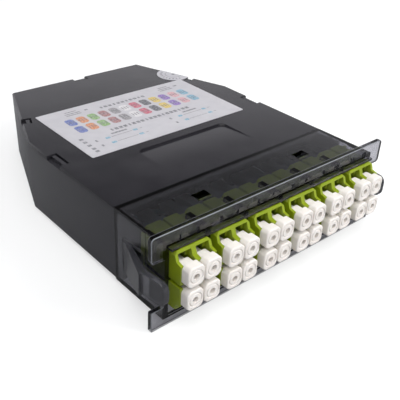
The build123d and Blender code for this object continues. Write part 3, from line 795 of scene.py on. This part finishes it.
# Print on the seal: a ring and a dot, with short bars round the ring
seal_low, seal_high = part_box("seal_sticker")
seal_middle = Vector((seal_low.x + SEAL_RADIUS, (seal_low.y + seal_high.y) / 2, seal_high.z))
seal_ring = disc(SEAL_RING_RADIUS, PRINT_THICKNESS, SEAL_SIDES, seal_middle)
ring_hole = disc(SEAL_RING_RADIUS - SEAL_RING_WIDTH, 4 * PRINT_THICKNESS, SEAL_SIDES, seal_middle)
combine(seal_ring, ring_hole)
seal_print = [disc(SEAL_DOT_RADIUS, PRINT_THICKNESS, SEAL_SIDES, seal_middle), seal_ring]
for turn in SEAL_BAR_TURNS:
    reach = Matrix.Rotation(turn, 4, "Z") @ Vector((-SEAL_BAR_REACH, 0, 0))
    size = (SEAL_BAR_WIDTH, SEAL_BAR_LENGTH, PRINT_THICKNESS)
    seal_print.append(box(seal_middle + reach, size, turn))
seal_marks = join(seal_print, "seal_print")

# The print ends where the seal folds over the lid's taper edge
beyond = Matrix.Rotation(TAPER_TURN, 4, "Z") @ Vector((SEAL_FOLD + SEAL_RADIUS, 0, 0))
combine(seal_marks, box(seal_middle + beyond, 2 * SEAL_RADIUS * Vector((1, 1, 1)), TAPER_TURN))
finish_print(seal_marks, dark_ink)


def studio_paper(name):
    """Matt white paper: grey to the light it throws back, and white to the camera and through glass."""
    material, tree, shader, place = new_material(name)
    # Clouds in the paper, some six centimetres across
    amount = mottled(tree, place, 60 * MM, 0.0, 1.0)
    tree.links.new(tint(tree, amount, "#949496", "#8e8e90"), shader.inputs["Base Color"])
    set_values(shader, Roughness=0.9)
    rays = add_node(tree, "ShaderNodeLightPath")
    pale = add_node(tree, "ShaderNodeBsdfDiffuse", values={"Color": linear("#ffffff")})
    glow = add_node(tree, "ShaderNodeEmission", values={"Color": (1, 1, 1, 1), "Strength": 1.0})
    seen = add_node(
        tree, "ShaderNodeMixShader", values={0: FLOOR_SEEN},
        links={1: pale.outputs[0], 2: glow.outputs[0]},
    )
    through = add_node(
        tree, "ShaderNodeMixShader", values={0: FLOOR_THROUGH},
        links={1: pale.outputs[0], 2: glow.outputs[0]},
    )
    behind = add_node(
        tree, "ShaderNodeMixShader",
        links={0: rays.outputs["Is Transmission Ray"], 1: shader.outputs["BSDF"], 2: through.outputs[0]},
    )
    choose = add_node(
        tree, "ShaderNodeMixShader",
        links={0: rays.outputs["Is Camera Ray"], 1: behind.outputs[0], 2: seen.outputs[0]},
    )
    tree.links.new(choose.outputs[0], tree.nodes["Material Output"].inputs["Surface"])
    return material


# Floor, tilted so that it meets both the flange's foot and the housing's rear edge
bpy.ops.mesh.primitive_plane_add(size=FLOOR_SIZE)
floor = bpy.context.object
floor.name = "studio_floor"
floor.rotation_euler = (FLOOR_TILT, 0, 0)
floor.location = (0, frame_low.y, frame_low.z - FLOOR_GAP)
paint(floor, studio_paper("White paper, studio floor"))

# Room: white to the camera and through glass, a bright low wall in mirrored rays
world = bpy.data.worlds.new("Studio")
bpy.context.scene.world = world
world.use_nodes = True
tree = world.node_tree
tree.nodes.clear()
rays = add_node(tree, "ShaderNodeLightPath")
direction = add_node(tree, "ShaderNodeTexCoord").outputs["Generated"]
height = add_node(tree, "ShaderNodeSeparateXYZ", links={"Vector": direction}).outputs["Z"]
fade = add_node(
    tree, "ShaderNodeMapRange", settings={"interpolation_type": "SMOOTHSTEP"},
    values={
        "From Min": WALL_FROM, "From Max": WALL_TO,
        "To Min": WALL_LIGHT, "To Max": CEILING_LIGHT,
    },
    links={"Value": height},
)
soft = add_node(tree, "ShaderNodeBackground", values={"Color": linear("#eef0f4"), "Strength": ROOM_LIGHT})
wall = add_node(
    tree, "ShaderNodeBackground", values={"Color": linear("#f6f5fa")},
    links={"Strength": fade.outputs["Result"]},
)
white = add_node(tree, "ShaderNodeBackground", values={"Color": (1, 1, 1, 1), "Strength": 1.0})
mirrored = add_node(
    tree, "ShaderNodeMixShader",
    links={0: rays.outputs["Is Glossy Ray"], 1: soft.outputs[0], 2: wall.outputs[0]},
)
seen = add_node(
    tree, "ShaderNodeMath", settings={"operation": "MAXIMUM"},
    links={0: rays.outputs["Is Camera Ray"], 1: rays.outputs["Is Transmission Ray"]},
)
choose = add_node(
    tree, "ShaderNodeMixShader",
    links={0: seen.outputs[0], 1: mirrored.outputs[0], 2: white.outputs[0]},
)
add_node(tree, "ShaderNodeOutputWorld", links={"Surface": choose.outputs[0]})


# Square lamps, turned towards the part
for name, (place, size, watts, mirrored) in LAMPS.items():
    bpy.ops.object.light_add(type="AREA", location=place)
    lamp = bpy.context.object
    lamp.name = name
    lamp.data.size = size
    lamp.data.energy = watts
    lamp.visible_glossy = mirrored
    lamp.visible_transmission = mirrored
    lamp.rotation_euler = (Vector(LAMP_AIM) - Vector(place)).to_track_quat("-Z", "Y").to_euler()

# Camera
bpy.ops.object.camera_add()
camera = bpy.context.object
turn = (
    Matrix.Rotation(CAMERA_TURN, 4, "Z")
    @ Matrix.Rotation(pi / 2 - CAMERA_PITCH, 4, "X")
    @ Matrix.Rotation(CAMERA_ROLL, 4, "Z")
)
camera.matrix_world = Matrix.Translation(CAMERA_PLACE) @ turn
camera.data.lens = CAMERA_LENS
camera.data.sensor_width = CAMERA_SENSOR
camera.data.clip_start = CAMERA_NEAR
bpy.context.scene.camera = camera
bpy.context.scene.view_settings.view_transform = "Standard"
